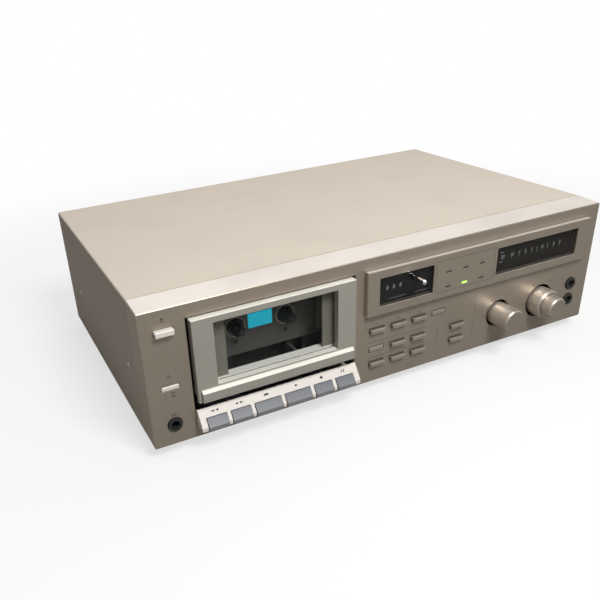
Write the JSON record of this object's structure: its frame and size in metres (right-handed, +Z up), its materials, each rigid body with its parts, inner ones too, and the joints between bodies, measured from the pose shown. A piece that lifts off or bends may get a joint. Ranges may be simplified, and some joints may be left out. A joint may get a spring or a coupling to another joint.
{
  "type": "cassette deck",
  "caption": "Full-width cassette tape deck with tilting cassette door, piano keys, counter, level display, push buttons and level knobs.",
  "frame": {"origin": "on the surface it stands on, below the middle of the whole object", "axes": "+X to the right seen from the front, +Y to the back, +Z up; the front faces -Y"},
  "size_m": [0.42, 0.2904, 0.1204],
  "materials": {
    "front_aluminium": "fine brushed, champagne tint",
    "cover_paint": "satin champagne paint",
    "zinc_steel": "zinc plated sheet",
    "rear_paint": "satin dark grey paint",
    "door_aluminium": "satin, grey green tint",
    "window_acrylic": "clear polished",
    "smoked_acrylic": "smoked polished",
    "lamp_acrylic": "translucent blue, lit from behind",
    "deck_paint": "matt dark grey paint",
    "holder_plastic": "moulded, olive grey",
    "cream_plastic": "moulded, cream white",
    "key_plastic": "moulded, blue grey",
    "button_plastic": "champagne lacquer",
    "knob_aluminium": "turned, pale champagne",
    "capstan_metal": "turned",
    "black_plastic": "moulded, black",
    "rubber": "matt",
    "board_laminate": "phenolic board",
    "transformer_iron": "varnished laminations"
  },
  "bodies": {
    "case": {"front_panel": "front_aluminium", "top_cover": "cover_paint", "base_pan": "zinc_steel", "rear_panel": "rear_paint", "foot_front_left": "rubber", "foot_front_right": "rubber", "foot_rear_left": "rubber", "foot_rear_right": "rubber", "deck_chassis": "deck_paint", "lamp_window": "lamp_acrylic", "capstan_motor": "zinc_steel", "reel_motor": "zinc_steel", "drive_belt": "rubber", "key_bezel": "cream_plastic", "display_bezel": "front_aluminium", "display_lens": "smoked_acrylic", "counter_frame": "black_plastic", "phones_jack": "black_plastic", "mic_jack_block": "black_plastic", "control_board": "board_laminate", "main_board": "board_laminate", "transformer": "transformer_iron", "line_jacks": "black_plastic", "cord_gland": "rubber"},
    "cassette_door": {"door_frame": "door_aluminium", "door_pane": "window_acrylic", "cassette_holder": "holder_plastic"},
    "supply_reel": {"supply_spindle": "black_plastic"},
    "takeup_reel": {"takeup_spindle": "black_plastic"},
    "capstan": {"capstan_flywheel": "capstan_metal"},
    "head_lift": {"head_carriage": "zinc_steel", "record_head": "zinc_steel"},
    "pinch_wheel": {"pinch_roller": "rubber"},
    "output_control": {"output_knob": "knob_aluminium"},
    "record_control_outer": {"record_knob_outer": "knob_aluminium"},
    "record_control_inner": {"record_knob_inner": "knob_aluminium"},
    "units_drum_body": {"units_drum": "black_plastic"},
    "tens_drum_body": {"tens_drum": "black_plastic"},
    "hundreds_drum_body": {"hundreds_drum": "black_plastic"},
    "counter_reset_button_body": {"counter_reset_button": "zinc_steel"},
    "eject_button_body": {"eject_button": "cream_plastic"},
    "power_button_body": {"power_button": "cream_plastic"},
    "rewind_key_body": {"rewind_key": "key_plastic"},
    "fast_forward_key_body": {"fast_forward_key": "key_plastic"},
    "stop_key_body": {"stop_key": "key_plastic"},
    "play_key_body": {"play_key": "key_plastic"},
    "record_key_body": {"record_key": "key_plastic"},
    "pause_key_body": {"pause_key": "key_plastic"},
    "tape_type_one_button_body": {"tape_type_one_button": "button_plastic"},
    "tape_type_two_button_body": {"tape_type_two_button": "button_plastic"},
    "tape_type_three_button_body": {"tape_type_three_button": "button_plastic"},
    "tape_type_auto_button_body": {"tape_type_auto_button": "button_plastic"},
    "timer_off_button_body": {"timer_off_button": "button_plastic"},
    "timer_play_button_body": {"timer_play_button": "button_plastic"},
    "timer_record_button_body": {"timer_record_button": "button_plastic"},
    "filter_off_button_body": {"filter_off_button": "button_plastic"},
    "filter_low_button_body": {"filter_low_button": "button_plastic"},
    "filter_high_button_body": {"filter_high_button": "button_plastic"},
    "monitor_button_body": {"monitor_button": "button_plastic"},
    "memory_button_body": {"memory_button": "button_plastic"}
  },
  "joints": [
    {"name": "door_hinge", "type": "hinge", "parent": "case", "child": "cassette_door", "pos_m": [-0.109, -0.11825, 0.0423], "axis": [1, 0, 0], "range_deg": [0, 30]},
    {"name": "rewind_key_hinge", "type": "hinge", "parent": "case", "child": "rewind_key_body", "pos_m": [-0.16329, -0.11125, 0.024], "axis": [1, 0, 0], "range_deg": [0, 5], "stiffness_Nm_per_rad": 0.2, "springref_deg": -8.59},
    {"name": "fast_forward_key_hinge", "type": "hinge", "parent": "case", "child": "fast_forward_key_body", "pos_m": [-0.14398, -0.11125, 0.024], "axis": [1, 0, 0], "range_deg": [0, 5], "stiffness_Nm_per_rad": 0.2, "springref_deg": -8.59},
    {"name": "stop_key_hinge", "type": "hinge", "parent": "case", "child": "stop_key_body", "pos_m": [-0.12166, -0.11125, 0.024], "axis": [1, 0, 0], "range_deg": [0, 5], "stiffness_Nm_per_rad": 0.2, "springref_deg": -8.59},
    {"name": "play_key_hinge", "type": "hinge", "parent": "case", "child": "play_key_body", "pos_m": [-0.09634, -0.11125, 0.024], "axis": [1, 0, 0], "range_deg": [0, 5], "stiffness_Nm_per_rad": 0.2, "springref_deg": -8.59},
    {"name": "record_key_hinge", "type": "hinge", "parent": "case", "child": "record_key_body", "pos_m": [-0.07402, -0.11125, 0.024], "axis": [1, 0, 0], "range_deg": [0, 5], "stiffness_Nm_per_rad": 0.2, "springref_deg": -8.59},
    {"name": "pause_key_hinge", "type": "hinge", "parent": "case", "child": "pause_key_body", "pos_m": [-0.05471, -0.11125, 0.024], "axis": [1, 0, 0], "range_deg": [0, 5], "stiffness_Nm_per_rad": 0.2, "springref_deg": -8.59},
    {"name": "eject_button_slide", "type": "slide", "parent": "case", "child": "eject_button_body", "axis": [0, 1, 0], "range_m": [0, 0.003], "stiffness_N_per_m": 200, "springref_m": -0.003},
    {"name": "counter_reset_button_slide", "type": "slide", "parent": "case", "child": "counter_reset_button_body", "axis": [0, 1, 0], "range_m": [0, 0.003], "stiffness_N_per_m": 200, "springref_m": -0.003},
    {"name": "power_button_slide", "type": "slide", "parent": "case", "child": "power_button_body", "axis": [0, 1, 0], "range_m": [-0.0035, 0]},
    {"name": "tape_type_one_button_slide", "type": "slide", "parent": "case", "child": "tape_type_one_button_body", "axis": [0, 1, 0], "range_m": [0, 0.0026]},
    {"name": "tape_type_two_button_slide", "type": "slide", "parent": "case", "child": "tape_type_two_button_body", "axis": [0, 1, 0], "range_m": [0, 0.0026]},
    {"name": "tape_type_three_button_slide", "type": "slide", "parent": "case", "child": "tape_type_three_button_body", "axis": [0, 1, 0], "range_m": [0, 0.0026]},
    {"name": "tape_type_auto_button_slide", "type": "slide", "parent": "case", "child": "tape_type_auto_button_body", "axis": [0, 1, 0], "range_m": [-0.0026, 0]},
    {"name": "timer_off_button_slide", "type": "slide", "parent": "case", "child": "timer_off_button_body", "axis": [0, 1, 0], "range_m": [-0.0026, 0]},
    {"name": "timer_play_button_slide", "type": "slide", "parent": "case", "child": "timer_play_button_body", "axis": [0, 1, 0], "range_m": [0, 0.0026]},
    {"name": "timer_record_button_slide", "type": "slide", "parent": "case", "child": "timer_record_button_body", "axis": [0, 1, 0], "range_m": [0, 0.0026]},
    {"name": "filter_off_button_slide", "type": "slide", "parent": "case", "child": "filter_off_button_body", "axis": [0, 1, 0], "range_m": [0, 0.0026]},
    {"name": "filter_low_button_slide", "type": "slide", "parent": "case", "child": "filter_low_button_body", "axis": [0, 1, 0], "range_m": [0, 0.0026]},
    {"name": "filter_high_button_slide", "type": "slide", "parent": "case", "child": "filter_high_button_body", "axis": [0, 1, 0], "range_m": [0, 0.0026]},
    {"name": "monitor_button_slide", "type": "slide", "parent": "case", "child": "monitor_button_body", "axis": [0, 1, 0], "range_m": [0, 0.0026]},
    {"name": "memory_button_slide", "type": "slide", "parent": "case", "child": "memory_button_body", "axis": [0, 1, 0], "range_m": [0, 0.0026]},
    {"name": "output_turn", "type": "hinge", "parent": "case", "child": "output_control", "pos_m": [0.1058, -0.12325, 0.0392], "axis": [0, 1, 0], "range_deg": [-150, 150]},
    {"name": "record_outer_turn", "type": "hinge", "parent": "case", "child": "record_control_outer", "pos_m": [0.1539, -0.12325, 0.0392], "axis": [0, 1, 0], "range_deg": [-150, 150]},
    {"name": "record_inner_turn", "type": "hinge", "parent": "case", "child": "record_control_inner", "pos_m": [0.1539, -0.12325, 0.0392], "axis": [0, 1, 0], "range_deg": [-150, 150]},
    {"name": "supply_spin", "type": "hinge", "parent": "case", "child": "supply_reel", "pos_m": [-0.12955, -0.12325, 0.0766], "axis": [0, 1, 0], "continuous": true},
    {"name": "takeup_spin", "type": "hinge", "parent": "case", "child": "takeup_reel", "pos_m": [-0.08705, -0.12325, 0.0766], "axis": [0, 1, 0], "continuous": true},
    {"name": "capstan_spin", "type": "hinge", "parent": "case", "child": "capstan", "pos_m": [-0.0818, -0.12325, 0.0455], "axis": [0, 1, 0], "continuous": true},
    {"name": "head_slide", "type": "slide", "parent": "case", "child": "head_lift", "axis": [0, 0, 1], "range_m": [0, 0.005]},
    {"name": "pinch_spin", "type": "hinge", "parent": "head_lift", "child": "pinch_wheel", "pos_m": [-0.0818, -0.12325, 0.0335], "axis": [0, 1, 0], "continuous": true},
    {"name": "hundreds_drum_spin", "type": "hinge", "parent": "case", "child": "hundreds_drum_body", "pos_m": [-0.0105, -0.11385, 0.09], "axis": [1, 0, 0], "continuous": true},
    {"name": "tens_drum_spin", "type": "hinge", "parent": "case", "child": "tens_drum_body", "pos_m": [-0.0043, -0.11385, 0.09], "axis": [1, 0, 0], "continuous": true},
    {"name": "units_drum_spin", "type": "hinge", "parent": "case", "child": "units_drum_body", "pos_m": [0.0019, -0.11385, 0.09], "axis": [1, 0, 0], "continuous": true}
  ],
  "couplings": [
    {"joint": "play_key_hinge", "follows": "head_slide", "rad_per_m": 17.4},
    {"joint": "units_drum_spin", "follows": "takeup_spin", "ratio": 0.5},
    {"joint": "tens_drum_spin", "follows": "takeup_spin", "ratio": 0.05},
    {"joint": "hundreds_drum_spin", "follows": "takeup_spin", "ratio": 0.005}
  ]
}
